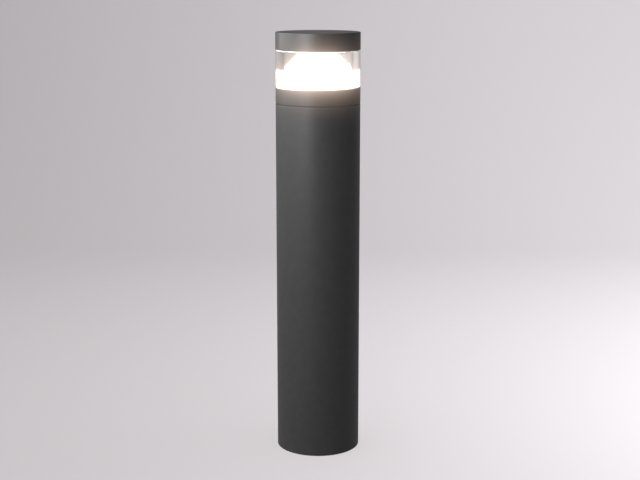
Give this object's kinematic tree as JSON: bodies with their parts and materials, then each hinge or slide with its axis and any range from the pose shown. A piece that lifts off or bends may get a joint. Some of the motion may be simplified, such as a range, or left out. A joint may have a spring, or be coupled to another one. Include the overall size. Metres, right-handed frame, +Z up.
{
  "type": "bollard light",
  "caption": "Low round bollard light: a cap and a glowing bell in a clear cylinder on a plain post, with its gear tray inside.",
  "frame": {"origin": "centre of the foot's underside, on the surface it stands on", "axes": "+Z up along the post, -Y to the front, +Y to the rear, where the security screws are"},
  "size_m": [0.1, 0.1, 0.505],
  "materials": {
    "anthracite_powder_coat": "fine-textured matt powder coat on aluminium",
    "cast_aluminium": "as die-cast, lightly blasted",
    "zinc_plated_steel": "bright zinc plate",
    "stainless_steel": "machined stainless",
    "tinned_copper": "tinned",
    "brass": "machined",
    "black_rubber": "moulded EPDM",
    "clear_silicone": "translucent silicone",
    "grey_abs": "fine moulded texture",
    "black_polyamide": "moulded",
    "white_polycarbonate": "moulded",
    "circuit_board": "solder mask on glass-epoxy",
    "component_plastic": "moulded component cases",
    "white_aluminium_board": "white solder mask or white lacquer on sheet",
    "thermal_silicone": "soft pad",
    "led_phosphor": "phosphor in clear resin",
    "clear_acrylic": "polished cast tube, bore satin in its lower part",
    "opal_polycarbonate": "opal, satin",
    "black_pvc_lead": "extruded jacket",
    "brown_pvc_core": "extruded insulation",
    "green_yellow_pvc": "extruded insulation"
  },
  "bodies": {
    "base": {"base_flange": "cast_aluminium", "cable_grommet": "black_rubber", "gear_tray": "zinc_plated_steel", "tray_screws": "zinc_plated_steel", "earth_lugs": "tinned_copper", "earth_stud": "zinc_plated_steel", "earth_screw": "zinc_plated_steel", "earth_lead": "green_yellow_pvc", "junction_box": "grey_abs", "junction_box_seal": "black_rubber", "junction_box_lid": "grey_abs", "junction_box_lid_screws": "zinc_plated_steel", "junction_box_screws": "zinc_plated_steel", "terminal_block": "white_polycarbonate", "terminal_clamps": "brass", "gland_bodies": "black_polyamide", "gland_nuts": "black_polyamide", "gland_seals": "black_rubber", "gland_locknuts": "black_polyamide", "driver_case": "white_polycarbonate", "driver_lid": "white_polycarbonate", "driver_terminals": "white_polycarbonate", "driver_board": "circuit_board", "driver_components": "component_plastic", "driver_screws": "zinc_plated_steel", "socket_housing": "black_polyamide", "socket_nut": "black_polyamide", "socket_pins": "brass", "mains_lead": "black_pvc_lead", "mains_cores": "brown_pvc_core", "led_lead": "black_pvc_lead"},
    "post": {"post_tube": "anthracite_powder_coat", "base_lock_screws": "stainless_steel", "head_lock_screws": "stainless_steel"},
    "head": {"collar": "anthracite_powder_coat", "collar_seal": "black_rubber", "connector_plate": "zinc_plated_steel", "connector_plate_screws": "zinc_plated_steel", "thermal_pad": "thermal_silicone", "led_board": "white_aluminium_board", "led_chips": "led_phosphor", "led_board_screws": "zinc_plated_steel", "board_connector": "white_polycarbonate", "lead_grommet": "black_rubber", "head_lead": "black_pvc_lead", "head_cores": "brown_pvc_core", "lower_gasket": "clear_silicone", "upper_gasket": "clear_silicone", "clear_cylinder": "clear_acrylic", "diffuser": "opal_polycarbonate", "neck_ring": "clear_silicone", "cap": "anthracite_powder_coat", "cap_liner": "white_aluminium_board", "cap_liner_screws": "zinc_plated_steel", "tie_bolt": "zinc_plated_steel", "tie_washers": "zinc_plated_steel", "plug_housing": "black_polyamide", "plug_sleeves": "brass"}
  },
  "joints": [
    {"name": "post_lift", "type": "slide", "parent": "base", "child": "post", "axis": [0, 0, 1], "range_m": [0, 0.4]},
    {"name": "head_lift", "type": "slide", "parent": "post", "child": "head", "axis": [0, 0, 1], "range_m": [0, 0.08]}
  ]
}
